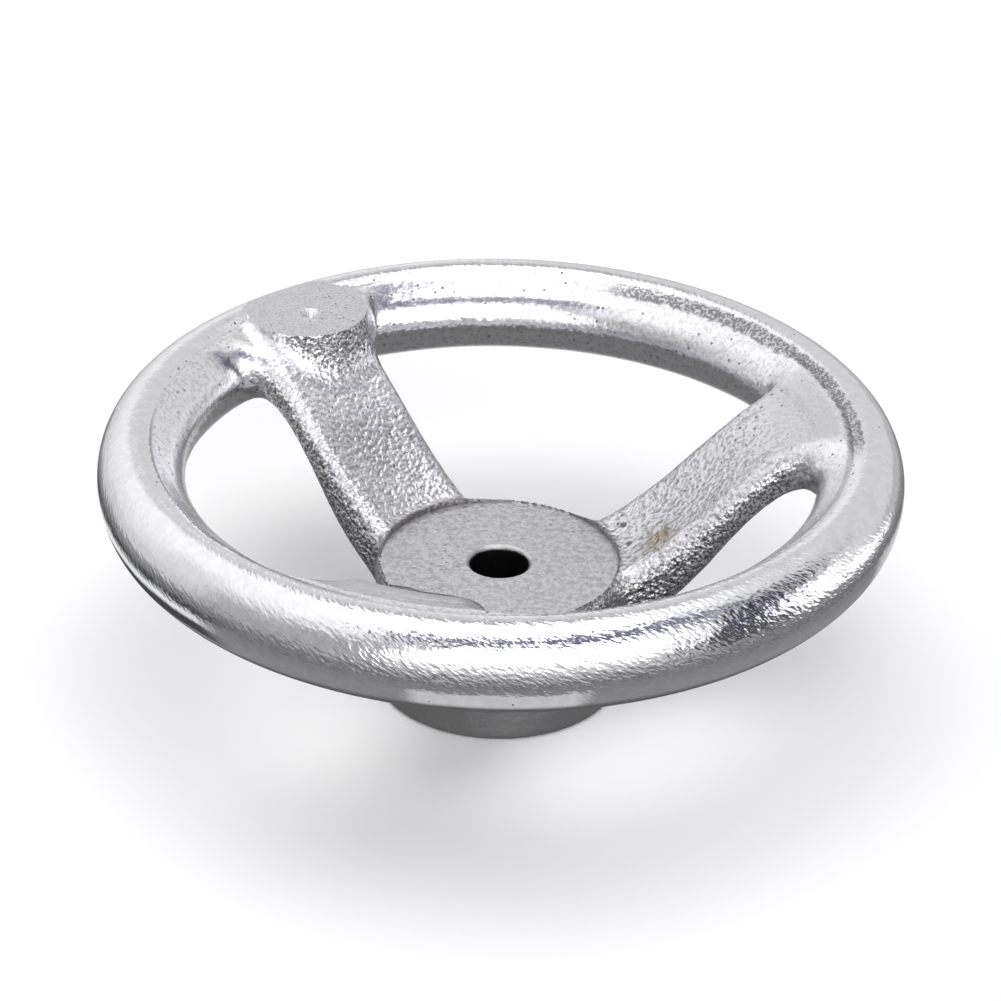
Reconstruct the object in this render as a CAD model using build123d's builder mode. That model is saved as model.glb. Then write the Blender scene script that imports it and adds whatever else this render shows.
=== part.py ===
from build123d import *
import math
import os

# Small dished machine handwheel, one casting, millimetres, +Z up.
# Origin: centre of the pilot bore on the back (lower) face of the hub.
# +Z is the wheel axis and points to the side that faces the operator.
# Seen from above, the spoke with the handle boss lies at 133 degrees and the
# front spoke at 253 degrees.

# ---- driving dimensions -------------------------------------------------
rim_diameter = 80.0          # over the turned rim
rim_top_z = 29.0             # overall height above the hub's back face
rim_mid_z = 24.1             # height of the widest circle of the rim
rim_bottom_z = 19.3          # underside of the rim
rim_inner_r = 31.35          # narrowest circle of the cast inner face
rim_crown_r = 36.2           # circle of the highest and lowest points
crease_r = 34.75             # where the turned surface stops on the inside
crease_z = 28.45
crease_step = 0.15           # the cast face stands back this much there
turned_end_r = 34.9          # where the turned surface stops underneath
turned_end_z = 19.55

hub_length = 13.45           # back face to faced front disc
hub_back_r = 12.5            # hub is drafted: wider at the back
hub_front_r = 12.2
hub_edge = 0.6               # broken edge on the back face
facing_r = 12.0              # faced disc on the front of the hub
bore_d = 6.0                 # pilot bore
bore_edge = 0.35             # chamfer at both mouths of the bore

spoke_count = 3
spoke_angle = 13.0           # first spoke, in plan from +X
spoke_width = 13.0
window_outer_r = 34.5        # windows run out inside the rim's section
window_inner_r = 12.1
window_outer_corner = 5.0
window_inner_corner = 3.0
spoke_edge = 0.8             # rounded edges of the cast spokes

boss_angle = spoke_angle + 116.9
boss_pitch_r = 32.1
boss_r = 6.3
boss_draft = 4.0             # degrees, wider towards the foot
boss_top_z = 28.95           # faced pad, level with the rim's crown
boss_foot_z = 22.9
mark_angle = spoke_angle + 117.5
mark_pitch_r = 30.9
mark_d = 2.0                 # centre mark on the pad, not drilled through
mark_depth = 0.6

# The facing of the front disc doesn't clean up over the front spoke: there
# the cast skin stays on, out from a chord this far from the axis.
uncut_angle = spoke_angle + 240.0
uncut_chord = 8.3
uncut_end = 0.4              # the chord's end, beside the spoke's centreline

# Dish of the spokes: (radius, height) along the upper and lower faces.
dish_top = [(11.0, 13.5), (12.3, 13.85), (14.6, 15.1), (18.0, 17.6),
            (21.6, 20.7), (25.2, 23.9), (27.6, 25.75), (30.2, 27.1),
            (33.0, 27.8), (35.3, 28.1)]
dish_bottom = [(12.5, 4.6), (12.9, 6.1), (14.2, 7.6), (17.0, 9.7),
               (19.5, 11.9), (21.6, 14.3), (23.6, 16.8), (26.0, 19.35),
               (28.5, 21.1), (31.2, 22.05), (33.6, 22.45), (35.3, 22.5)]

rim_r = rim_diameter / 2
# Half-plane through the axis and the middle of the first spoke.
a = math.radians(spoke_angle)
radial = Plane(origin=(0, 0, 0), x_dir=(math.cos(a), math.sin(a), 0),
               z_dir=(math.sin(a), -math.cos(a), 0))

with BuildPart() as handwheel:
    # Dished web, one body of revolution between its two faces.
    with BuildSketch(radial) as web_section:
        with BuildLine():
            upper = Spline(*dish_top)
            lower = Spline(*dish_bottom)
            Polyline(upper @ 0, (dish_top[0][0], dish_bottom[0][1]), lower @ 0)
            Line(upper @ 1, lower @ 1)
        make_face()
    revolve(axis=Axis.Z)

    # Three windows leave the three spokes; their outer corners are the
    # large radii with which each spoke runs out into the rim.
    with BuildSketch(Plane.XY) as windows:
        Circle(window_outer_r)
        Circle(window_inner_r, mode=Mode.SUBTRACT)
        with PolarLocations(0, spoke_count, start_angle=spoke_angle):
            Rectangle(2 * rim_r, spoke_width, align=(Align.MIN, Align.CENTER),
                      mode=Mode.SUBTRACT)
        fillet([v for v in windows.vertices() if math.hypot(v.X, v.Y) > 20],
               window_outer_corner)
        fillet([v for v in windows.vertices()
                if math.hypot(v.X, v.Y) < window_inner_r + 0.01],
               window_inner_corner)
    extrude(amount=2 * hub_length + rim_top_z, mode=Mode.SUBTRACT)

    # Rounded upper and lower edges of the cast spokes.
    inner, outer = window_inner_r - 0.1, window_outer_r + 0.1
    outline = [e for e in handwheel.edges()
               if e.geom_type == GeomType.BSPLINE
               and all(inner < math.hypot(p.X, p.Y) < outer
                       for p in (e @ 0, e @ 0.5, e @ 1))]
    fillet(outline, spoke_edge)

    # Rim: turned crown, outside and underside; cast inner face.
    with BuildSketch(radial) as rim_section:
        with BuildLine():
            crown = Spline(
                (crease_r, crease_z),
                (rim_crown_r, rim_top_z),
                (38.55, 28.0),
                (rim_r, rim_mid_z),
                (38.65, 20.55),
                (rim_crown_r, rim_bottom_z),
                (turned_end_r, turned_end_z),
            )
            Line((crease_r, crease_z), (crease_r, crease_z - crease_step))
            cast_face = Spline(
                (crease_r, crease_z - crease_step),
                (33.8, 27.55),
                (32.85, 26.78),
                (31.9, 25.72),
                (31.42, 24.6),
                (rim_inner_r, 23.9),
                (31.75, 22.3),
                (32.8, 20.8),
                (turned_end_r, turned_end_z + 0.1),
            )
            Line((turned_end_r, turned_end_z + 0.1),
                 (turned_end_r, turned_end_z))
        make_face()
    revolve(axis=Axis.Z)

    # Hub.
    with BuildSketch(radial) as hub_section:
        with BuildLine():
            Polyline(
                (0, 0),
                (hub_back_r - hub_edge, 0),
                (hub_back_r, hub_edge),
                (hub_front_r, hub_length + 0.15),
                (0, hub_length + 0.15),
                close=True,
            )
        make_face()
    revolve(axis=Axis.Z)

    # Handle boss, drafted, standing on the spoke and run into the rim: its
    # outer side ends inside the rim's section, under the crown.
    c = (boss_pitch_r * math.cos(math.radians(boss_angle)),
         boss_pitch_r * math.sin(math.radians(boss_angle)))
    with BuildSketch(Plane.XY.offset(boss_top_z)) as boss_section:
        with Locations(c):
            Circle(boss_r)
        Circle(rim_crown_r, mode=Mode.INTERSECT)
    extrude(amount=-(boss_top_z - boss_foot_z), taper=-boss_draft)

    # Machined faces: pad of the boss, front disc of the hub.
    with BuildSketch(Plane.XY.offset(boss_top_z)) as pad_cut:
        with Locations(c):
            Circle(boss_r)
    extrude(amount=2, mode=Mode.SUBTRACT)
    t = math.radians(uncut_angle)

    def across(u, v):
        """Plan point u beside and v along the front spoke's centreline."""
        return (v * math.cos(t) - u * math.sin(t),
                v * math.sin(t) + u * math.cos(t))

    with BuildSketch(Plane.XY.offset(hub_length)) as disc_cut:
        Circle(facing_r)
        with BuildLine():
            FilletPolyline(across(-14, uncut_chord),
                           across(uncut_end, uncut_chord),
                           across(uncut_end + 2.2, uncut_chord + 3.0),
                           across(uncut_end + 2.6, 16), across(-14, 16),
                           close=True, radius=0.8)
        make_face(mode=Mode.SUBTRACT)
    extrude(amount=4, mode=Mode.SUBTRACT)

    # Pilot bore with its two chamfered mouths.
    with Locations((0, 0, 0)):
        Cylinder(bore_d / 2, 2 * hub_length + 2, mode=Mode.SUBTRACT)
    mouths = [e for e in handwheel.edges().filter_by(GeomType.CIRCLE)
              if abs(e.radius - bore_d / 2) < 1e-3]
    chamfer(mouths, bore_edge)

    # Centre mark where a handle hole would be drilled.
    m = (mark_pitch_r * math.cos(math.radians(mark_angle)),
         mark_pitch_r * math.sin(math.radians(mark_angle)))
    with BuildSketch(Plane.XY.offset(boss_top_z)) as mark_sketch:
        with Locations(m):
            Circle(mark_d / 2)
    extrude(amount=-mark_depth, taper=56, mode=Mode.SUBTRACT)

handwheel.part.label = "handwheel"
handwheel.part.color = Color(0.75, 0.76, 0.78)

print("solids", len(handwheel.part.solids()), "volume", handwheel.part.volume)

os.makedirs("parts", exist_ok=True)
export_step(handwheel.part, "parts/handwheel.step")
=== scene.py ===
import math
import time

import bpy
import numpy as np
from mathutils import Matrix, Vector


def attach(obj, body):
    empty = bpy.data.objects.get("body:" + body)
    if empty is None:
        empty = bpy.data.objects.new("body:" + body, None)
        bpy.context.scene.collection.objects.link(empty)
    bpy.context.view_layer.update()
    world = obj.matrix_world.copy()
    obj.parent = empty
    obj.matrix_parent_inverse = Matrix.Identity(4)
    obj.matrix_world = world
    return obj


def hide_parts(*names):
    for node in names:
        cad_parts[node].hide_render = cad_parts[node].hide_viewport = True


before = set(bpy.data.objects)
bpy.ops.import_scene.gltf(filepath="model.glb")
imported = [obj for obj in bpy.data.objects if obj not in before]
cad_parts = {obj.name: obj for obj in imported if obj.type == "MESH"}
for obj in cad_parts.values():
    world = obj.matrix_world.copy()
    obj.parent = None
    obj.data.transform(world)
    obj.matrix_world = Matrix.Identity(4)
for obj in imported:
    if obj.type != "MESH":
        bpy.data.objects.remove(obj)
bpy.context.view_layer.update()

T0 = time.time()

# ==========================================================================
# The wheel's dimensions, in millimetres, the same as the CAD part's.
# ==========================================================================
RIM_R, RIM_TOP, RIM_MID, RIM_LOW = 40.0, 29.0, 24.1, 19.3
CREASE_R, CREASE_Z, CREASE_STEP = 34.75, 28.45, 0.15
UNDER_R, UNDER_Z = 34.9, 19.55
RUST = (15.9, 0.6, 16.0)                   # middle of a small rust stain
CROWN = [(34.75, 28.45), (36.2, 29.0), (38.55, 28.0), (40.0, 24.1),
         (38.65, 20.55), (36.2, 19.3), (34.9, 19.55)]
CAST_FACE = [(34.75, 28.3), (33.77, 27.6), (32.75, 26.85), (31.92, 25.9),
             (31.42, 24.7), (31.35, 23.9), (31.75, 22.3), (32.8, 20.8), (34.9, 19.65)]
DISH_TOP = [(11.0, 13.5), (12.3, 13.85), (14.6, 15.1), (18.0, 17.6),
            (21.6, 20.7), (25.2, 23.9), (27.6, 25.75), (30.2, 27.1),
            (33.0, 27.8), (35.3, 28.1)]
DISH_BOTTOM = [(12.5, 4.6), (12.9, 6.1), (14.2, 7.6), (17.0, 9.7),
               (19.5, 11.9), (21.6, 14.3), (23.6, 16.8), (26.0, 19.35),
               (28.5, 21.1), (31.2, 22.05), (33.6, 22.45), (35.3, 22.5)]
HUB_LEN, HUB_BACK_R, HUB_FRONT_R, FACE_R = 13.45, 12.5, 12.2, 12.0
BORE_R, BORE_EDGE = 3.0, 0.35
SPOKE_A = math.radians(13.0)
SPOKE_HALF, WIN_OUT, WIN_IN, WIN_OUT_C, WIN_IN_C = 6.5, 34.5, 12.1, 5.0, 3.0
BOSS_A = math.radians(129.9)
BOSS = (32.1 * math.cos(BOSS_A), 32.1 * math.sin(BOSS_A))
BOSS_R, PAD_Z, DRAFT = 6.3, 28.95, math.tan(math.radians(4.0))
MARK_A = math.radians(130.5)
MARK = (30.9 * math.cos(MARK_A), 30.9 * math.sin(MARK_A))
# The front spoke's cast skin stands over a part of the faced disc, out from
# this far along the spoke's line and up to this far beside it.
TONGUE_A, TONGUE_V, TONGUE_U = math.radians(253.0), 8.3, 0.4


# ==========================================================================
# Curves and plane distance tables
# ==========================================================================
def curve(points, n=60):
    """Smooth curve through the points, n steps a span."""
    p = np.array(points, float)
    h = np.hypot(*np.diff(p, axis=0).T)
    t = np.concatenate([[0.0], np.cumsum(h)])
    m = len(p)

    def end(t0, t1, t2, p0, p1, p2):
        a, b = (p1 - p0) / (t1 - t0), (p2 - p1) / (t2 - t1)
        return a - (t1 - t0) * (b - a) / (t2 - t0)
    A, b = np.zeros((m, m)), np.zeros((m, 2))
    A[0, 0] = A[-1, -1] = 1
    b[0] = end(t[0], t[1], t[2], p[0], p[1], p[2])
    b[-1] = end(t[-1], t[-2], t[-3], p[-1], p[-2], p[-3])
    for i in range(1, m - 1):
        A[i, i - 1], A[i, i], A[i, i + 1] = h[i], 2 * (h[i - 1] + h[i]), h[i - 1]
        b[i] = 3 * (h[i] * (p[i] - p[i - 1]) / h[i - 1]
                    + h[i - 1] * (p[i + 1] - p[i]) / h[i])
    k = np.linalg.solve(A, b)
    out = []
    for i in range(m - 1):
        s = np.linspace(0, 1, n, endpoint=False)[:, None]
        out.append((2 * s**3 - 3 * s**2 + 1) * p[i] + (s**3 - 2 * s**2 + s) * h[i] * k[i]
                   + (-2 * s**3 + 3 * s**2) * p[i + 1] + (s**3 - s**2) * h[i] * k[i + 1])
    return np.vstack(out + [p[-1:]])


class Plan:
    """Signed distance to a closed outline in a plane, negative inside."""

    def __init__(self, outline, lo, hi, step):
        self.lo, self.step = lo, step
        xs = np.arange(lo[0], hi[0] + step, step)
        ys = np.arange(lo[1], hi[1] + step, step)
        X, Y = np.meshgrid(xs, ys, indexing="ij")
        best = np.full(X.shape, 1e9)
        inside = np.zeros(X.shape, bool)
        q = np.array(outline, float)
        for (ax, ay), (bx, by) in zip(q, np.roll(q, -1, axis=0)):
            ex, ey = bx - ax, by - ay
            n = ex * ex + ey * ey
            if n < 1e-12:
                continue
            s = np.clip(((X - ax) * ex + (Y - ay) * ey) / n, 0, 1)
            best = np.minimum(best, (X - ax - s * ex)**2 + (Y - ay - s * ey)**2)
            if ay != by:
                hit = (ay > Y) != (by > Y)
                inside ^= hit & (X < ax + (Y - ay) * ex / ey)
        self.d = np.where(inside, -1.0, 1.0) * np.sqrt(best)
        self.shape = self.d.shape
        self.flat = self.d.astype(np.float32).ravel()

    def __call__(self, x, y):
        u = np.clip((x - self.lo[0]) / self.step, 0, self.shape[0] - 1.001)
        v = np.clip((y - self.lo[1]) / self.step, 0, self.shape[1] - 1.001)
        i, j = u.astype(np.int32), v.astype(np.int32)
        u, v = (u - i).astype(np.float32), (v - j).astype(np.float32)
        k = i * self.shape[1] + j
        a, b = self.flat[k], self.flat[k + 1]
        c, d = self.flat[k + self.shape[1]], self.flat[k + self.shape[1] + 1]
        return (a * (1 - v) + b * v) * (1 - u) + (c * (1 - v) + d * v) * u


crown = curve(CROWN, 120)
face = curve(CAST_FACE, 60)
top, bottom = curve(DISH_TOP, 24), curve(DISH_BOTTOM, 24)

TURNED = Plan(np.vstack([[(0, 60), (33.5, 60), (34.3, 29.3)], crown,
                         [(UNDER_R, 18.9), (31.0, 8.0), (0, -20)]]),
              (30, 10), (46, 38), 0.05)
STOCK = Plan(np.vstack([face, [(35.5, 19.0), (60, 8), (60, 60), (CREASE_R, 60)]]),
             (26, 8), (46, 38), 0.06)
WEB = Plan(np.vstack([top, bottom[::-1], [(11.0, 4.6)]]), (6, -2), (42, 34), 0.08)

# One window in plan, its middle along +X of its own frame.
half = math.radians(60.0)


def window_outline():
    c, s = math.cos(-half), math.sin(-half)

    def at(al, off):                       # along and off the spoke at -60 degrees
        return (al * c - off * s, al * s + off * c)
    oc = SPOKE_HALF + WIN_OUT_C
    ac = math.sqrt((WIN_OUT - WIN_OUT_C)**2 - oc**2)
    ic = SPOKE_HALF + WIN_IN_C
    bc = math.sqrt((WIN_IN + WIN_IN_C)**2 - ic**2)
    pts = []
    a0 = math.atan2(ic, bc)                # inner arc's end, from the spoke's line
    inner = np.linspace(half, a0, 24)
    pts += [at(WIN_IN * math.cos(t), WIN_IN * math.sin(t)) for t in inner]
    for t in np.linspace(a0 + math.pi, 1.5 * math.pi, 12)[1:]:
        pts.append(at(bc + WIN_IN_C * math.cos(t), ic + WIN_IN_C * math.sin(t)))
    o0 = math.atan2(oc, ac)
    for t in np.linspace(-math.pi / 2, o0, 24):
        pts.append(at(ac + WIN_OUT_C * math.cos(t), oc + WIN_OUT_C * math.sin(t)))
    pts += [at(WIN_OUT * math.cos(t), WIN_OUT * math.sin(t))
            for t in np.linspace(o0, half, 30)[1:]]
    pts = np.array(pts)
    mirror = pts[::-1] * (1, -1)
    return np.vstack([pts, mirror])


WINDOW = Plan(window_outline(), (0, -34), (40, 34), 0.1)


# ==========================================================================
# Noise in space, seeded
# ==========================================================================
rng = np.random.default_rng(20)
PERM = rng.permutation(4096).astype(np.int32)
VALS = rng.uniform(-1, 1, 4096).astype(np.float32)


def _hash(i, j, k):
    return PERM[(PERM[(PERM[i & 4095] + j) & 4095] + k) & 4095]


def value_noise(x, y, z, size, seed):
    """Smooth noise of about that wavelength in mm, from -1 to 1."""
    f = 1.0 / size
    u, v, w = x * f + 101.3 * seed, y * f + 37.7 * seed + 500, z * f + 11.1 * seed + 500
    i, j, k = (np.floor(q).astype(np.int32) for q in (u, v, w))
    u, v, w = u - i, v - j, w - k
    u, v, w = (q * q * q * (q * (q * 6 - 15) + 10) for q in (u, v, w))
    out = 0
    for a in (0, 1):
        for b in (0, 1):
            for c in (0, 1):
                out = out + VALS[_hash(i + a, j + b, k + c)] * (
                    (u if a else 1 - u) * (v if b else 1 - v) * (w if c else 1 - w))
    return out


# ==========================================================================
# The solid as a signed field, millimetres, negative inside
# ==========================================================================
def join(a, b, r):                         # union with a hollow fillet
    return np.maximum(r, np.minimum(a, b)) - np.hypot(
        np.maximum(r - a, 0), np.maximum(r - b, 0))


def meet(a, b, r):                         # intersection with a rounded edge
    return np.minimum(-r, np.maximum(a, b)) + np.hypot(
        np.maximum(a + r, 0), np.maximum(b + r, 0))


def ramp(v, lo, hi):
    """Smooth rise from 0 to 1 as v goes from lo to hi."""
    t = np.clip((v - lo) / (hi - lo), 0, 1)
    return t * t * (3 - 2 * t)


def casting(x, y, z):
    """The casting before machining, smooth."""
    r = np.hypot(x, y)
    web = WEB(r, z)
    # the window that a point is nearest to, turned to the table's frame
    a = np.arctan2(y, x)
    rel = np.mod(a - SPOKE_A, 2 * math.pi / 3) - half
    win = WINDOW(r * np.cos(rel), r * np.sin(rel))
    web = meet(web, -win, 1.9 + 0.3 * ramp(r, 28.0, 17.0))
    rim = STOCK(r, z)
    body = join(web, rim, 1.8)
    body = np.maximum(body, np.minimum(z - CREASE_Z, CREASE_R - r))
    side = (r - (HUB_BACK_R - (HUB_BACK_R - HUB_FRONT_R) / 13.6 * z))
    hub = meet(meet(side, -z, 0.6), z - 13.66, 0.3)
    body = join(body, hub, 1.1)
    rb = np.hypot(x - BOSS[0], y - BOSS[1])
    boss = np.maximum(np.maximum(rb - (BOSS_R + (PAD_Z - z) * DRAFT), 22.9 - z),
                      z - (PAD_Z + 0.5))
    return join(body, boss, 1.7)


def skin(x, y, z):
    """How far the rough cast skin stands out, mm."""
    r = np.hypot(x, y)
    n = 0.040 * value_noise(x, y, z, 3.4, 1)
    coarse = 0.012 + 0.010 * ramp(r, 29.0, 18.0)
    n = n + coarse * value_noise(x, y, z, 1.5, 2)
    n = n + coarse * value_noise(x, y, z, 0.8, 3)
    calm = np.maximum(ramp(r, 13.9, 13.2) * ramp(z, 12.2, 11.0), 0.7 * ramp(r, 30.8, 31.8))
    return n * (1 - 0.8 * calm)


def machined(x, y, z, f):
    """Turned, faced, bored and punched surfaces cut into the field f."""
    r = np.hypot(x, y)
    rb = np.hypot(x - BOSS[0], y - BOSS[1])
    # inside the crown's circle the pad stands out of the turned profile
    kept = np.maximum(np.maximum(rb - BOSS_R, z - PAD_Z), r - 36.2)
    f = np.maximum(f, np.minimum(TURNED(r, z), kept))
    f = np.maximum(f, -z)
    u = -x * math.sin(TONGUE_A) + y * math.cos(TONGUE_A)
    v = x * math.cos(TONGUE_A) + y * math.sin(TONGUE_A)
    tongue = meet(TONGUE_V - v + 0.10 * np.sin(0.9 * u + 0.4),
                  (u - TONGUE_U - 0.85 * (v - TONGUE_V)) * 0.76, 0.8)
    disc = np.maximum(r - FACE_R, -tongue)
    f = np.maximum(f, -np.maximum(HUB_LEN - z, disc))
    rm = np.hypot(x - MARK[0], y - MARK[1])
    lip = 0.12 * np.exp(-((rm - 1.2) / 0.28)**2)
    f = np.maximum(f, -np.maximum(PAD_Z + lip - z, rb - BOSS_R - 0.3))
    hole = np.minimum(r - BORE_R, np.minimum(
        (r + HUB_LEN - z - BORE_R - BORE_EDGE) * 0.7071,
        (r + z - BORE_R - BORE_EDGE) * 0.7071))
    f = np.maximum(f, -hole)
    t = math.radians(56)
    mark = np.maximum((rm - 1.0 + (PAD_Z - z) * math.tan(t)) * math.cos(t),
                      PAD_Z - 0.6 - z)
    return np.maximum(f, -mark)


def field(x, y, z, near=None):
    f = casting(x, y, z)
    if near is None:
        return machined(x, y, z, f - skin(x, y, z))
    pick = np.abs(f) < near
    f = f.astype(float)
    f[pick] -= skin(x[pick], y[pick], z[pick])
    return machined(x, y, z, f)


# ==========================================================================
# Surface of the field, by dual contouring
# ==========================================================================
def surface(h):
    lo = np.array([-41.0, -41.0, -1.0]) + 0.137 * h
    n = np.ceil((np.array([41.0, 41.0, 30.3]) - lo) / h).astype(int) + 1
    ax = [lo[a] + h * np.arange(n[a]) for a in range(3)]
    V = np.empty(n, np.float32)
    for i in range(0, n[0], 8):
        X, Y, Z = np.meshgrid(ax[0][i:i + 8], ax[1], ax[2], indexing="ij")
        s = X.shape
        V[i:i + 8] = field(X.ravel(), Y.ravel(), Z.ravel(), 0.45).reshape(s)
    print("grid", n, round(time.time() - T0, 1))
    inside = V < 0
    P, N, C, ends = [], [], [], []
    for a in range(3):
        s0 = [slice(None)] * 3; s1 = [slice(None)] * 3
        s0[a], s1[a] = slice(0, -1), slice(1, None)
        e = np.argwhere(inside[tuple(s0)] != inside[tuple(s1)])
        v0 = V[e[:, 0], e[:, 1], e[:, 2]].astype(float)
        q = e.copy(); q[:, a] += 1
        v1 = V[q[:, 0], q[:, 1], q[:, 2]].astype(float)
        base = lo + h * e
        ta, tb, fa, fb = np.zeros(len(e)), np.ones(len(e)), v0, v1
        t = v0 / (v0 - v1)
        for _ in range(3):                 # false position, kept in its bracket
            p = base.copy(); p[:, a] += t * h
            f = field(*p.T)
            left = (f < 0) == (fa < 0)
            ta, fa = np.where(left, t, ta), np.where(left, f, fa)
            tb, fb = np.where(left, tb, t), np.where(left, fb, f)
            t = ta + (tb - ta) * np.clip(fa / (fa - fb + 1e-12), 0.05, 0.95)
        p = base.copy(); p[:, a] += t * h
        P.append(p); C.append(e); ends.append(v0 < 0)
    print("edges", sum(map(len, P)), round(time.time() - T0, 1))
    allp = np.vstack(P)
    g = np.empty_like(allp)
    eps = 0.03
    for a in range(3):
        u, w = allp.copy(), allp.copy()
        u[:, a] += eps; w[:, a] -= eps
        g[:, a] = field(*u.T) - field(*w.T)
    g /= np.linalg.norm(g, axis=1)[:, None] + 1e-12
    print("normals", round(time.time() - T0, 1))
    cells, quads, k = [], [], 0
    for a in range(3):
        b, c = (a + 1) % 3, (a + 2) % 3
        e = C[a]
        ids = []
        for db, dc in ((-1, -1), (0, -1), (0, 0), (-1, 0)):
            q = e.copy(); q[:, b] += db; q[:, c] += dc
            ids.append((q[:, 0] * n[1] + q[:, 1]) * n[2] + q[:, 2])
        ids = np.array(ids).T              # 4 cells round each edge
        ids[~ends[a]] = ids[~ends[a]][:, ::-1]
        quads.append(ids)
    quads = np.vstack(quads)
    uniq, inv = np.unique(quads, return_inverse=True)
    inv = inv.reshape(quads.shape)
    m = len(uniq)
    w = inv.ravel()
    rep = np.repeat(np.arange(len(allp)), 4)
    cnt = np.bincount(w, minlength=m).astype(float)
    mass = np.stack([np.bincount(w, allp[rep, a], m) for a in range(3)], 1) / cnt[:, None]
    G = g[rep]
    bvec = np.einsum("ij,ij->i", G, allp[rep] - mass[w])
    ATb = np.stack([np.bincount(w, G[:, a] * bvec, m) for a in range(3)], 1)
    ATA = np.empty((m, 3, 3))
    for a in range(3):
        for b in range(a, 3):
            ATA[:, a, b] = ATA[:, b, a] = np.bincount(w, G[:, a] * G[:, b], m)
    lam = 0.03 * cnt
    ATA[:, range(3), range(3)] += lam[:, None]
    d = np.linalg.solve(ATA, ATb[:, :, None])[:, :, 0]
    ijk = np.stack(np.unravel_index(uniq, n), 1)
    centre = lo + h * (ijk + 0.5)
    pos = np.clip(mass + d, centre - 0.5 * h, centre + 0.5 * h)
    print("cells", m, "quads", len(inv), round(time.time() - T0, 1))
    return pos, inv


# ==========================================================================
# The visual mesh
# ==========================================================================
STEP = 0.29
BUDGET = 196000

pos, quads = surface(STEP)


def new_mesh(name, co, faces, mend=False):
    me = bpy.data.meshes.new(name)
    me.vertices.add(len(co))
    me.vertices.foreach_set("co", co.astype(np.float32).ravel())
    k = faces.shape[1]
    me.loops.add(faces.size)
    me.loops.foreach_set("vertex_index", faces.ravel().astype(np.int32))
    me.polygons.add(len(faces))
    me.polygons.foreach_set("loop_start", np.arange(0, faces.size, k, dtype=np.int32))
    me.polygons.foreach_set("loop_total", np.full(len(faces), k, np.int32))
    me.update(calc_edges=True)
    if mend:
        me.validate()
    return me


def read(me):
    co = np.empty(len(me.vertices) * 3, np.float32)
    me.vertices.foreach_get("co", co)
    idx = np.empty(len(me.loops), np.int32)
    me.loops.foreach_get("vertex_index", idx)
    return co.reshape(-1, 3).astype(float), idx.reshape(-1, 3)


raw = new_mesh("raw", pos * 0.001, quads, True)
work = bpy.data.objects.new("work", raw)
bpy.context.scene.collection.objects.link(work)
thin = work.modifiers.new("thin", "DECIMATE")
thin.ratio = min(1.0, BUDGET / (2.0 * len(quads)))
thin.use_collapse_triangulate = True
dg = bpy.context.evaluated_depsgraph_get()
less = bpy.data.meshes.new_from_object(work.evaluated_get(dg))
less.validate()
co, tris = read(less)
bpy.data.objects.remove(work)
bpy.data.meshes.remove(raw)
bpy.data.meshes.remove(less)
co *= 1000.0
_, first = np.unique(np.sort(tris, 1), axis=0, return_index=True)
tris = tris[np.sort(first)]
print("thinned to", len(tris), round(time.time() - T0, 1))

# Crown: exact profile and its normals, by the angle round the section.
CX, CZ = 36.0, 24.1
ang = np.arctan2(crown[:, 1] - CZ, crown[:, 0] - CX)
ang = np.where(ang < -2.6, ang + 2 * math.pi, ang)
order = np.argsort(ang)
ang_s = ang[order]
rad_s = np.hypot(crown[:, 0] - CX, crown[:, 1] - CZ)[order]
tan = np.gradient(crown, axis=0)
nrm = np.stack([-tan[:, 1], tan[:, 0]], 1)
nrm /= np.linalg.norm(nrm, axis=1)[:, None]
if nrm[np.argmax(crown[:, 0]), 0] < 0:
    nrm = -nrm
nrm = nrm[order]


def section_angle(p):
    r = np.hypot(p[:, 0], p[:, 1])
    return np.arctan2(p[:, 2] - CZ, r - CX), r


def turned_normal(p):
    a, r = section_angle(p)
    nr, nz = np.interp(a, ang_s, nrm[:, 0]), np.interp(a, ang_s, nrm[:, 1])
    n = np.stack([nr * p[:, 0] / r, nr * p[:, 1] / r, nz], 1)
    return n / np.linalg.norm(n, axis=1)[:, None]


a, r = section_angle(co)
vb = np.hypot(co[:, 0] - BOSS[0], co[:, 1] - BOSS[1])
on_pad = (vb < BOSS_R + 0.25) & (np.abs(co[:, 2] - PAD_Z) < 0.035)
on_crown = (np.abs(TURNED(r, co[:, 2])) < 0.04) & (r > 34.7) & ~on_pad
snap = np.where(on_crown)[0]
want = np.interp(a[snap], ang_s, rad_s)
nr_, nz_ = CX + want * np.cos(a[snap]), CZ + want * np.sin(a[snap])
close = (a[snap] > ang_s[0]) & (a[snap] < ang_s[-1])
k = nr_ / r[snap]
co[snap[close], 0] *= k[close]
co[snap[close], 1] *= k[close]
co[snap[close], 2] = nz_[close]

# Thinning leaves a few points a little proud of the wheel's own box.
r = np.hypot(co[:, 0], co[:, 1])
proud = (co[:, 2] > RIM_TOP + 0.001) | (co[:, 2] < -0.001) | (r > RIM_R + 0.001)
print("proud points", int(proud.sum()), "highest", round(float(co[:, 2].max()), 4),
      "at radius", round(float(r[co[:, 2].argmax()]), 3))
co[:, 2] = np.clip(co[:, 2], 0.0, RIM_TOP)
co[:, :2] *= np.minimum(1.0, (RIM_R - 0.003) / np.maximum(r, 1e-9))[:, None]

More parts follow.
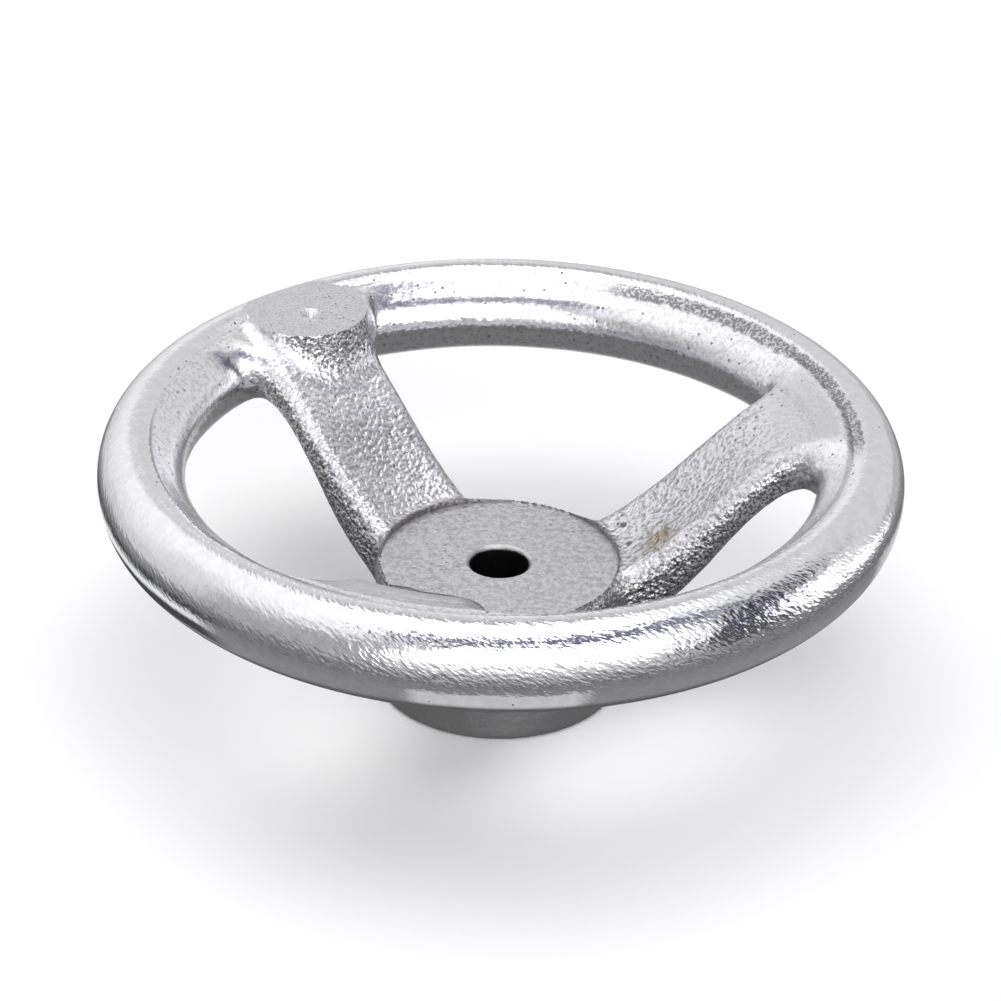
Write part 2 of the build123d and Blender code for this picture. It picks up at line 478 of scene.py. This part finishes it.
# Zones, by the middle of each triangle.
CAST, TURN, FACED, BORE = 0, 1, 2, 3
mid = co[tris].mean(1)
fn = np.cross(co[tris[:, 1]] - co[tris[:, 0]], co[tris[:, 2]] - co[tris[:, 0]])
area = np.linalg.norm(fn, axis=1)
fn /= area[:, None] + 1e-12
mr = np.hypot(mid[:, 0], mid[:, 1])
mb = np.hypot(mid[:, 0] - BOSS[0], mid[:, 1] - BOSS[1])
mm_ = np.hypot(mid[:, 0] - MARK[0], mid[:, 1] - MARK[1])
zone = np.full(len(tris), CAST)
zone[(np.abs(TURNED(mr, mid[:, 2])) < 0.05) & (mr > 34.76)
     & ((fn * turned_normal(mid)).sum(1) > 0.8)] = TURN
flat = np.abs(fn[:, 2]) > 0.97
zone[flat & (np.abs(mid[:, 2] - HUB_LEN) < 0.02) & (mr < FACE_R + 0.05)] = FACED
zone[(mb < BOSS_R + 0.3) & (np.abs(mid[:, 2] - PAD_Z) < 0.03) & flat] = FACED
zone[(mm_ < 2.0) & (mid[:, 2] > PAD_Z - 0.8)] = FACED
zone[flat & (mid[:, 2] < 0.02)] = FACED
zone[mr < BORE_R + BORE_EDGE + 0.02] = BORE

# The facing tool has dulled the crown beside the pad too.
look_of = zone.copy()
look_of[(zone == TURN) & (mb < BOSS_R) & (mid[:, 2] > 28.2)] = FACED

# Corner normals: exact on machined zones, smooth over the cast skin.
flatn = fn * area[:, None]
loopn = np.empty((len(tris), 3, 3))
for z_ in (CAST, BORE):
    sel = zone == z_
    acc = np.zeros((len(co), 3))
    for c in range(3):
        np.add.at(acc, tris[sel, c], flatn[sel])
    acc /= np.linalg.norm(acc, axis=1)[:, None] + 1e-12
    loopn[sel] = acc[tris[sel]]
sel = zone == FACED
loopn[sel] = fn[sel][:, None, :]
sel = zone == TURN
loopn[sel] = turned_normal(co[tris[sel]].reshape(-1, 3)).reshape(-1, 3, 3)

wheel_mesh = new_mesh("handwheel_visual", co * 0.001, tris)
assert len(wheel_mesh.polygons) == len(tris)
wheel_mesh.polygons.foreach_set("material_index", look_of.astype(np.int32))
wheel_mesh.polygons.foreach_set("use_smooth", np.ones(len(tris), bool))
wheel_mesh.normals_split_custom_set(loopn.reshape(-1, 3).astype(np.float32))
wheel = bpy.data.objects.new("handwheel_casting", wheel_mesh)
bpy.context.scene.collection.objects.link(wheel)
print("mesh", len(tris), "zones", np.bincount(zone), round(time.time() - T0, 1))


# ==========================================================================
# Materials
# ==========================================================================
class Nodes:
    def __init__(self, tree):
        self.t = tree
        tree.nodes.clear()

    def n(self, kind, **props):
        node = self.t.nodes.new(kind)
        for k_, v in props.items():
            if k_ != "inputs":
                setattr(node, k_, v)
        for k_, v in props.get("inputs", {}).items():
            if isinstance(v, bpy.types.NodeSocket):
                self.t.links.new(v, node.inputs[k_])
            else:
                node.inputs[k_].default_value = v
        return node

    def m(self, op, *v, clamp=False):
        node = self.n("ShaderNodeMath", operation=op, use_clamp=clamp)
        for i, q in enumerate(v):
            if isinstance(q, bpy.types.NodeSocket):
                self.t.links.new(q, node.inputs[i])
            else:
                node.inputs[i].default_value = q
        return node.outputs[0]

    def step(self, x, lo, hi):
        """Smooth rise from 0 to 1 as x goes from lo to hi."""
        node = self.n("ShaderNodeMapRange", interpolation_type="SMOOTHSTEP",
                      inputs={"Value": x, "From Min": lo, "From Max": hi})
        return node.outputs[0]

    def mix(self, f, a, b):
        node = self.n("ShaderNodeMix", data_type="RGBA")
        for i, q in ((0, f), (6, a), (7, b)):
            if isinstance(q, bpy.types.NodeSocket):
                self.t.links.new(q, node.inputs[i])
            else:
                node.inputs[i].default_value = q
        return node.outputs[2]

    def noise(self, v, scale, detail=2.0, rough=0.5, dist=0.0):
        return self.n("ShaderNodeTexNoise", inputs={
            "Vector": v, "Scale": scale, "Detail": detail, "Roughness": rough,
            "Distortion": dist}).outputs[0]

    def voronoi(self, v, scale, feature="F1", rand=1.0):
        return self.n("ShaderNodeTexVoronoi", feature=feature, inputs={
            "Vector": v, "Scale": scale, "Randomness": rand}).outputs[0]

    def xyz(self, x, y, z):
        return self.n("ShaderNodeCombineXYZ", inputs={0: x, 1: y, 2: z}).outputs[0]


def material(name):
    m = bpy.data.materials.new(name)
    m.use_nodes = True
    g = Nodes(m.node_tree)
    out = g.n("ShaderNodeOutputMaterial")
    p = g.n("ShaderNodeBsdfPrincipled")
    g.t.links.new(p.outputs[0], out.inputs[0])
    co_ = g.n("ShaderNodeTexCoord").outputs["Object"]
    sp = g.n("ShaderNodeSeparateXYZ", inputs={0: co_})
    x, y, z = (g.m("MULTIPLY", sp.outputs[i], 1000.0) for i in range(3))
    mm = g.xyz(x, y, z)
    return m, g, p, (x, y, z, mm)


def toward(g, cx, cy, degrees):
    """1 where the plan direction (cx, cy) points that way, falling to -1."""
    t = math.radians(degrees)
    return g.m("ADD", g.m("MULTIPLY", cx, math.cos(t)), g.m("MULTIPLY", cy, math.sin(t)))


def dark_crease_band(g, x, y, z, r, mm):
    """Speckled dark band along the crease, from the second spoke back."""
    cx, cy = g.m("DIVIDE", x, r), g.m("DIVIDE", y, r)
    off = g.m("SUBTRACT", r, g.m("MULTIPLY_ADD", cy, -0.75, 34.98))
    off = g.m("ADD", off, g.m("MULTIPLY", g.m("SUBTRACT", g.noise(mm, 1.2, 1.0, 0.5), 0.5), 0.7))
    band = g.step(g.m("ABSOLUTE", off), 0.82, 0.48)
    band = g.m("MULTIPLY", band, g.step(toward(g, cx, cy, 33.0), 0.73, 0.84))
    band = g.m("MULTIPLY", band, g.step(z, 26.4, 27.0))
    speck = g.step(g.noise(mm, 3.4, 1.0, 0.5), 0.60, 0.46)
    return g.m("MULTIPLY", band, g.m("MULTIPLY_ADD", speck, 0.50, 0.42))


def cast_material():
    m, g, p, (x, y, z, mm) = material("plated_cast_skin")
    r = g.m("SQRT", g.m("ADD", g.m("MULTIPLY", x, x), g.m("MULTIPLY", y, y)))
    # coarser towards the hub, finer out at the rim, smooth on the hub's wall
    amp = g.m("MULTIPLY_ADD", g.step(r, 28.0, 17.0), 0.65, 0.65)
    amp = g.m("MULTIPLY", amp, g.m("MULTIPLY_ADD", g.step(r, 30.6, 31.8), -0.76, 1.0))
    wall = g.m("MULTIPLY", g.step(r, 13.8, 13.2), g.step(z, 11.8, 10.6))
    amp = g.m("MULTIPLY", amp, g.m("MULTIPLY_ADD", wall, -0.85, 1.0))
    big = g.noise(mm, 0.16, 2.0, 0.5)
    coarse = g.noise(mm, 1.9, 0.0, 0.5)
    mid_ = g.noise(mm, 3.7, 0.0, 0.5)
    fine = g.noise(mm, 8.0, 1.0, 0.5)
    pits = g.voronoi(mm, 0.8)
    pit = g.step(pits, 0.17, 0.07)
    h = g.m("MULTIPLY", fine, 0.012)
    h = g.m("MULTIPLY_ADD", mid_, 0.052, h)
    h = g.m("MULTIPLY_ADD", coarse, 0.13, h)
    h = g.m("MULTIPLY_ADD", pit, -0.05, h)
    nz = g.n("ShaderNodeSeparateXYZ", inputs={0: g.n("ShaderNodeNewGeometry").outputs["Normal"]}).outputs[2]
    steep = g.m("MULTIPLY", g.step(nz, 0.62, 0.30), g.m("MULTIPLY", g.step(r, 12.6, 13.6), g.step(r, 30.0, 28.0)))
    h = g.m("MULTIPLY", h, g.m("MULTIPLY_ADD", steep, 0.55, amp))
    b = g.n("ShaderNodeBump", inputs={"Height": h, "Distance": 0.001, "Strength": 1.0})
    g.t.links.new(b.outputs[0], p.inputs["Normal"])
    low = g.step(g.m("ADD", g.m("MULTIPLY", coarse, 0.5), g.m("MULTIPLY", mid_, 0.5)), 0.33, 0.56)
    c = g.mix(low, (0.41, 0.405, 0.425, 1), (0.68, 0.675, 0.70, 1))
    c = g.mix(g.step(r, 28.5, 31.5), c, g.mix(low, (0.66, 0.655, 0.68, 1), (0.83, 0.825, 0.85, 1)))
    sx, sy = g.m("DIVIDE", x, r), g.m("DIVIDE", y, r)
    ends = g.m("MAXIMUM", g.step(toward(g, sx, sy, 13.0), 0.965, 0.99), g.step(toward(g, sx, sy, 253.0), 0.95, 0.985))
    ends = g.m("MULTIPLY", g.m("MULTIPLY", ends, g.step(r, 26.5, 29.5)), g.m("MULTIPLY", g.step(r, 34.2, 33.4), g.step(z, 24.0, 25.5)))
    c = g.mix(g.m("MULTIPLY", ends, 0.85), c, (0.575, 0.57, 0.59, 1))
    # painted sheen: the first spoke's upper half is painted lighter, standing in for the light it reflects
    spoke1_sheen = g.m("MULTIPLY", g.step(toward(g, sx, sy, 133.0), 0.90, 0.96), g.m("MULTIPLY", g.step(r, 20.0, 24.5), g.step(r, 31.0, 29.0)))
    c = g.mix(g.m("MULTIPLY", spoke1_sheen, 0.95), c, g.mix(low, (0.66, 0.655, 0.68, 1), (0.90, 0.895, 0.915, 1)))
    # painted glints and shade: the steep spoke walls get a high-contrast white and dark speckle in their colour
    glint_speckle = g.step(g.m("ADD", g.m("MULTIPLY", mid_, 0.6), g.m("MULTIPLY", fine, 0.4)), 0.44, 0.56)
    c = g.mix(g.m("MULTIPLY", steep, 0.85), c, g.mix(glint_speckle, (0.22, 0.215, 0.23, 1), (0.97, 0.965, 0.98, 1)))
    pit = g.m("MULTIPLY", pit, g.m("MULTIPLY_ADD", wall, -0.95, 1.0))
    c = g.mix(g.m("MULTIPLY", wall, 0.9), c, (0.80, 0.795, 0.815, 1))
    c = g.mix(g.m("MULTIPLY", pit, 0.8), c, (0.10, 0.09, 0.09, 1))
    # rust bloom on the second spoke
    rust = g.n("ShaderNodeVectorMath", operation="DISTANCE", inputs={
        0: mm, 1: (RUST[0], RUST[1], RUST[2])}).outputs["Value"]
    rust = g.m("ADD", rust, g.m("MULTIPLY", g.m("SUBTRACT", g.noise(mm, 1.1, 3.0, 0.65), 0.5), 6.5))
    rust = g.m("MULTIPLY", g.step(rust, 2.9, 0.6), g.m("MULTIPLY_ADD", low, -0.45, 0.95))
    c = g.mix(rust, c, (0.24, 0.17, 0.085, 1))
    # three blowholes beside the hub
    for px, py, pz, pr in ((12.6, 5.7, 14.6, 0.34), (13.1, 2.5, 14.3, 0.34), (12.3, -7.0, 14.9, 0.30)):
        away = g.n("ShaderNodeVectorMath", operation="DISTANCE", inputs={
            0: mm, 1: (px, py, pz)}).outputs["Value"]
        c = g.mix(g.m("MULTIPLY", g.step(away, pr + 0.12, pr - 0.1), 0.85), c, (0.07, 0.065, 0.065, 1))
    # dark line where the spokes' skin ends at the faced disc: painted shade of the small step there, with dirt in the
    # corner
    seam_shade_and_dirt = g.m("MULTIPLY", g.step(r, 12.45, 12.1), g.step(z, 13.05, 13.4))
    c = g.mix(g.m("MULTIPLY", seam_shade_and_dirt, 0.75), c, (0.12, 0.11, 0.115, 1))
    # thin dark line under the turned edge of the rim: painted shade under the edge, with dirt in the crevice
    cx, cy = g.m("DIVIDE", x, r), g.m("DIVIDE", y, r)
    line = g.m("MULTIPLY", g.step(r, 34.40, 34.66), g.step(z, 26.5, 27.2))
    wide = g.m("MULTIPLY", g.step(r, 33.95, 34.30), g.step(z, 26.5, 27.2))
    right = g.step(toward(g, cx, cy, -12.0), 0.90, 0.98)
    left = g.step(toward(g, cx, cy, 212.0), 0.72, 0.92)
    line = g.m("MULTIPLY", line, g.m("MAXIMUM", 0.10, g.m("MULTIPLY", left, 0.7)))
    line = g.m("MAXIMUM", line, g.m("MULTIPLY", wide, g.m("MULTIPLY", right, 0.45)))
    c = g.mix(line, c, (0.16, 0.15, 0.155, 1))
    c = g.mix(dark_crease_band(g, x, y, z, r, mm), c, (0.17, 0.165, 0.175, 1))
    g.t.links.new(c, p.inputs["Base Color"])
    p.inputs["Metallic"].default_value = 1.0
    rough = g.m("MULTIPLY_ADD", big, 0.14, g.m("MULTIPLY_ADD", fine, 0.10, 0.20))
    rough = g.m("MULTIPLY", rough, g.m("MULTIPLY_ADD", g.step(r, 30.6, 31.6), -0.3, 1.0))
    g.t.links.new(rough, p.inputs["Roughness"])
    return m


def turned_material():
    m, g, p, (x, y, z, mm) = material("plated_turned_rim")
    r = g.m("SQRT", g.m("ADD", g.m("MULTIPLY", x, x), g.m("MULTIPLY", y, y)))
    cx, cy = g.m("DIVIDE", x, r), g.m("DIVIDE", y, r)
    phi = g.m("ARCTAN2", g.m("SUBTRACT", z, CZ), g.m("SUBTRACT", r, CX))
    lean = g.m("MULTIPLY", phi, 0.10)       # the marks lean along the rim
    cl, sl = g.m("COSINE", lean), g.m("SINE", lean)
    lx = g.m("SUBTRACT", g.m("MULTIPLY", cx, cl), g.m("MULTIPLY", cy, sl))
    ly = g.m("ADD", g.m("MULTIPLY", cx, sl), g.m("MULTIPLY", cy, cl))
    teeth = g.noise(g.xyz(g.m("MULTIPLY", lx, 78.0), g.m("MULTIPLY", ly, 78.0),
                          g.m("MULTIPLY", phi, 8.5)), 1.0, 1.0, 0.45)
    teeth = g.m("MULTIPLY", g.m("SUBTRACT", teeth, 0.5), g.m("MULTIPLY_ADD", g.step(z, 22.3, 24.6), 0.88, 0.12))
    teeth = g.m("MULTIPLY", teeth, g.m("MULTIPLY_ADD", g.step(toward(g, cx, cy, 285.0), 0.45, 0.85), 0.60, 0.50))
    lines = g.noise(g.xyz(g.m("MULTIPLY", cx, 12.0), g.m("MULTIPLY", cy, 12.0),
                          g.m("MULTIPLY", phi, 26.0)), 1.0, 2.0, 0.5)
    wave = g.noise(mm, 0.2, 0.0, 0.4)
    spot = g.noise(mm, 1.1, 2.0, 0.5)
    pits = g.voronoi(mm, 0.36)
    pit = g.step(pits, 0.05, 0.02)
    # pinholes where the turned surface runs out on the cast skin
    holes = g.step(g.voronoi(mm, 0.95), 0.20, 0.08)
    edge = g.m("MULTIPLY", g.step(r, 35.7, 35.0), g.step(z, 28.0, 28.4))
    pit = g.m("MAXIMUM", pit, g.m("MULTIPLY", holes, edge))
    h = g.m("MULTIPLY", lines, 0.004)
    h = g.m("MULTIPLY_ADD", teeth, 0.075, h)
    h = g.m("MULTIPLY_ADD", wave, 0.16, h)
    h = g.m("MULTIPLY_ADD", pit, -0.05, h)
    b = g.n("ShaderNodeBump", inputs={"Height": h, "Distance": 0.001, "Strength": 1.0})
    g.t.links.new(b.outputs[0], p.inputs["Normal"])
    c = g.mix(g.step(spot, 0.35, 0.65), (0.75, 0.75, 0.78, 1), (0.81, 0.81, 0.83, 1))
    c = g.mix(dark_crease_band(g, x, y, z, r, mm), c, (0.17, 0.165, 0.175, 1))
    c = g.mix(pit, c, (0.10, 0.09, 0.09, 1))
    g.t.links.new(c, p.inputs["Base Color"])
    p.inputs["Metallic"].default_value = 1.0
    rough = g.m("MULTIPLY_ADD", lines, 0.06, g.m("MULTIPLY_ADD", spot, 0.08, 0.08))
    rough = g.m("MULTIPLY", rough, g.m("MULTIPLY_ADD", g.step(z, 25.0, 23.0), -0.6, 1.0))
    g.t.links.new(rough, p.inputs["Roughness"])
    return m


def faced_material():
    m, g, p, (x, y, z, mm) = material("plated_faced")
    r = g.m("SQRT", g.m("ADD", g.m("MULTIPLY", x, x), g.m("MULTIPLY", y, y)))
    fine = g.noise(mm, 4.5, 2.0, 0.6)
    mid_ = g.noise(mm, 1.5, 2.0, 0.6)
    spots = g.noise(mm, 0.12, 1.0, 0.5)
    pit = g.m("MULTIPLY", g.step(g.voronoi(mm, 1.25), 0.30, 0.10), g.step(spots, 0.42, 0.58))
    h = g.m("MULTIPLY_ADD", fine, 0.030, g.m("MULTIPLY", mid_, 0.05))
    h = g.m("MULTIPLY_ADD", pit, -0.06, h)
    b = g.n("ShaderNodeBump", inputs={"Height": h, "Distance": 0.001, "Strength": 1.0})
    g.t.links.new(b.outputs[0], p.inputs["Normal"])
    c = g.mix(g.step(g.m("ADD", g.m("MULTIPLY", fine, 0.5), g.m("MULTIPLY", mid_, 0.5)), 0.38, 0.60),
              (0.46, 0.455, 0.47, 1), (0.67, 0.665, 0.685, 1))
    c = g.mix(g.step(z, 20.0, 22.0), c, g.mix(g.step(fine, 0.38, 0.60),
              (0.53, 0.525, 0.54, 1), (0.68, 0.675, 0.695, 1)))
    c = g.mix(g.m("MULTIPLY", pit, 0.6), c, (0.16, 0.15, 0.15, 1))
    g.t.links.new(c, p.inputs["Base Color"])
    p.inputs["Metallic"].default_value = 1.0
    rough = g.m("MULTIPLY_ADD", mid_, 0.15, 0.36)
    g.t.links.new(rough, p.inputs["Roughness"])
    return m


def bore_material():
    m, g, p, (x, y, z, mm) = material("bore_wall")
    n_ = g.noise(mm, 1.5, 3.0, 0.6)
    h = g.m("MULTIPLY", n_, 0.05)
    b = g.n("ShaderNodeBump", inputs={"Height": h, "Distance": 0.001, "Strength": 1.0})
    g.t.links.new(b.outputs[0], p.inputs["Normal"])
    # painted shade: below its chamfer the bore is painted near black, for the shade down the hole
    hole_shade = g.step(z, 13.35, 12.9)
    bright = g.mix(n_, (0.50, 0.50, 0.50, 1), (0.75, 0.75, 0.75, 1))
    c = g.mix(hole_shade, bright, (0.055, 0.05, 0.048, 1))
    g.t.links.new(c, p.inputs["Base Color"])
    p.inputs["Metallic"].default_value = 1.0
    g.t.links.new(g.m("MULTIPLY_ADD", n_, 0.2, 0.35), p.inputs["Roughness"])
    return m


for mat in (cast_material(), turned_material(), faced_material(), bore_material()):
    wheel_mesh.materials.append(mat)

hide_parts("handwheel")
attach(wheel, "root")

# ==========================================================================
# Floor, light and camera
# ==========================================================================
bpy.ops.mesh.primitive_plane_add(size=6.0, location=(0, 0, 0))
floor = bpy.context.object
floor.name = "floor"
fm = bpy.data.materials.new("floor_paper")
fm.use_nodes = True
fg = Nodes(fm.node_tree)
fo = fg.n("ShaderNodeOutputMaterial")
paper = fg.n("ShaderNodeBsdfPrincipled", inputs={
    "Base Color": (0.88, 0.88, 0.885, 1), "Roughness": 0.85, "Specular IOR Level": 0.2})
fs = fg.n("ShaderNodeSeparateXYZ", inputs={0: fg.n("ShaderNodeTexCoord").outputs["Object"]})
fr = fg.m("MULTIPLY", fg.m("SQRT", fg.m("ADD", fg.m("MULTIPLY", fs.outputs[0], fs.outputs[0]),
                                        fg.m("MULTIPLY", fs.outputs[1], fs.outputs[1]))), 1000.0)
fa = fg.m("MULTIPLY", fg.m("ARCTAN2", fs.outputs[0], fg.m("MULTIPLY", fs.outputs[1], -1.0)), 180 / math.pi)


def blend(mask, a_, b_):
    node = fg.n("ShaderNodeMix", data_type="FLOAT")
    for i, q in ((0, mask), (2, a_), (3, b_)):
        if isinstance(q, bpy.types.NodeSocket):
            fg.t.links.new(q, node.inputs[i])
        else:
            node.inputs[i].default_value = q
    return node.outputs[0]


def sector(a0, a1, soft):
    return fg.m("MULTIPLY", fg.step(fa, a0 - soft, a0 + soft), fg.step(fa, a1 + soft, a1 - soft))


def ring(r0, r1, soft):
    return fg.m("MULTIPLY", fg.step(fr, r0 - soft, r0 + soft), fg.step(fr, r1 + soft, r1 - soft))


back = fg.m("MAXIMUM", fg.step(fa, -124.0, -132.0), fg.step(fa, 98.0, 110.0))
dim = blend(sector(-18.0, 18.0, 2.0), 0.29, 0.66)                # inside the rim's foot
dim = blend(fg.step(fr, 53.0, 57.0), dim, 0.26)
dim = blend(fg.m("MULTIPLY", ring(40.0, 51.5, 1.5), sector(-128.0, -64.0, 6.0)), dim, 0.07)
dim = blend(fg.m("MULTIPLY", ring(53.0, 62.0, 1.5), sector(-128.0, -66.0, 6.0)), dim, 0.95)
dim = blend(fg.m("MULTIPLY", ring(48.0, 66.0, 2.5), back), dim, 0.66)
dim = blend(fg.step(fr, 66.0, 72.0), dim, 0.19)
dim = blend(fg.m("MULTIPLY", ring(64.5, 77.0, 1.5), sector(-128.0, -64.0, 6.0)), dim, 0.07)
dim = blend(ring(84.0, 112.0, 6.0), dim, 0.29)
dim = blend(fg.m("MULTIPLY", ring(84.0, 112.0, 6.0), sector(-25.0, 58.0, 8.0)), dim, 0.45)
far = blend(sector(-80.0, -28.0, 8.0), 0.76, 0.48)
far = blend(fg.step(fa, 105.0, 120.0), far, 0.55)
far = blend(sector(79.0, 116.0, 5.0), far, 1.5)
far = blend(sector(48.0, 76.0, 5.0), far, 0.09)
dim = blend(fg.step(fr, 108.0, 130.0), dim, far)
dim = blend(fg.step(fr, blend(back, 40.0, 47.0), blend(back, 30.0, 41.0)), dim, blend(back, 0.12, 0.20))   # shade under the wheel
# painted light: for reflected rays the floor glows in the rings and sectors above instead of showing lit paper; to
# the camera it stays plain paper
seen = fg.n("ShaderNodeEmission", inputs={"Color": (1.0, 1.0, 1.0, 1), "Strength": dim})
pick = fg.n("ShaderNodeMixShader", inputs={0: fg.n("ShaderNodeLightPath").outputs["Is Glossy Ray"],
                                          1: paper.outputs[0], 2: seen.outputs[0]})
fg.t.links.new(pick.outputs[0], fo.inputs[0])
floor.data.materials.append(fm)

world = bpy.data.worlds.new("studio")
bpy.context.scene.world = world
world.use_nodes = True
g = Nodes(world.node_tree)
out = g.n("ShaderNodeOutputWorld")
bg = g.n("ShaderNodeBackground")
g.t.links.new(bg.outputs[0], out.inputs[0])
d = g.n("ShaderNodeSeparateXYZ", inputs={0: g.n("ShaderNodeTexCoord").outputs["Generated"]})
az = g.m("MULTIPLY", g.m("ARCTAN2", d.outputs[0], g.m("MULTIPLY", d.outputs[1], -1.0)), 180 / math.pi)
el = g.m("MULTIPLY", g.m("ARCSINE", d.outputs[2]), 180 / math.pi)


def patch(a0, a1, sa0, sa1, e0, e1, se0, se1):
    """Soft-edged patch of the surroundings, in degrees of azimuth and elevation."""
    q = g.m("MULTIPLY", g.step(az, a0 - sa0, a0 + sa0), g.step(az, a1 + sa1, a1 - sa1))
    w = g.m("MULTIPLY", g.step(el, e0 - se0, e0 + se0), g.step(el, e1 + se1, e1 - se1))
    return g.m("MULTIPLY", q, w)


def over(base, mask, value):
    """Blend the surroundings from base to value where mask is 1."""
    node = g.n("ShaderNodeMix", data_type="FLOAT")
    g.t.links.new(mask, node.inputs[0])
    for i, q in ((2, base), (3, value)):
        if isinstance(q, bpy.types.NodeSocket):
            g.t.links.new(q, node.inputs[i])
        else:
            node.inputs[i].default_value = q
    return node.outputs[0]


L = over(0.90, g.step(el, -10.0, 48.0), 1.22)
side = over(0.50, g.step(el, 5.0, 52.0), 1.27)
L = over(L, patch(-106, -86, 10, 40, -60, 40, 10, 14), 0.82)      # left side
L = over(L, patch(-84, -20, 8, 8, -60, 60, 10, 6), side)
L = over(L, patch(-50, -32, 6, 6, -60, 26, 10, 8), 0.43)
L = over(L, patch(96, 190, 8, 5, -60, 51, 10, 6), 0.78)           # right and back
L = over(L, patch(80, 150, 8, 14, 48, 64, 5, 5), 0.92)
rear = g.m("MAXIMUM", g.step(az, 150.0, 168.0), g.step(az, -152.0, -168.0))
rear = g.m("MULTIPLY", rear, g.m("MULTIPLY", g.step(el, 20.0, 28.0), g.step(el, 66.0, 60.0)))
L = over(L, rear, over(0.80, g.step(el, 42.0, 50.0), 0.52))
L = over(L, patch(60, 112, 8, 10, 22, 48, 6, 6), 0.50)
gap = patch(-40, 84, 9, 14, 47, 65.5, 3, 3)                         # gap above the front light
L = over(L, gap, 0.19)
# dark gap right of the front light, leaning to the right as it rises
lean = g.m("MULTIPLY", g.m("MAXIMUM", g.m("SUBTRACT", el, 5.0), 0.0), -0.70)
az_in, az = az, g.m("ADD", az, lean)
dark = patch(54, 76, 5, 6, -60, 47, 6, 6)
L = over(L, dark, 0.05)
az = az_in
L = over(L, patch(-30, -14, 4, 7, 27, 50, 6, 5), 0.45)
L = over(L, g.step(el, 64.0, 70.0), 2.6)                          # overhead light
L = over(L, patch(-14, 50, 7, 5, -60, 46, 5, 4), 2.6)             # front light
L = over(L, patch(-29, -10, 3, 5, -60, 24, 5, 7), 2.6)
L = over(L, patch(80, 103, 4, 6, -60, 17, 5, 5), 2.0)             # right light
lp = g.n("ShaderNodeLightPath")
L = over(L, lp.outputs["Is Camera Ray"], 0.92)
g.t.links.new(L, bg.inputs["Strength"])
shade = g.m("MULTIPLY", g.m("MAXIMUM", dark, gap),
            g.m("SUBTRACT", 1.0, lp.outputs["Is Camera Ray"]))
g.t.links.new(g.mix(shade, (1.0, 1.0, 1.0, 1), (0.80, 0.77, 1.12, 1)), bg.inputs["Color"])

cam_data = bpy.data.cameras.new("camera")
cam = bpy.data.objects.new("camera", cam_data)
bpy.context.scene.collection.objects.link(cam)
E, ROLL, DIST = math.radians(30.0), math.radians(1.1), 0.400
look = Vector((0, math.cos(E), -math.sin(E)))
aim = Vector((0, 0, 0.0205))
zc = -look
xc = Vector((1, 0, 0))
yc = zc.cross(xc)
xi = xc * math.cos(ROLL) + yc * math.sin(ROLL)
yi = -(xc * math.sin(ROLL) - yc * math.cos(ROLL))
cam.matrix_world = Matrix((
    (xi.x, yi.x, zc.x, 0), (xi.y, yi.y, zc.y, 0), (xi.z, yi.z, zc.z, 0), (0, 0, 0, 1)))
cam.location = aim - look * DIST
cam_data.sensor_width = 36.0
cam_data.lens = 144.0
cam_data.clip_start, cam_data.clip_end = 0.01, 20.0
bpy.context.scene.camera = cam
bpy.context.scene.view_settings.view_transform = "Standard"

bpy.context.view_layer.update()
print("done", round(time.time() - T0, 1))
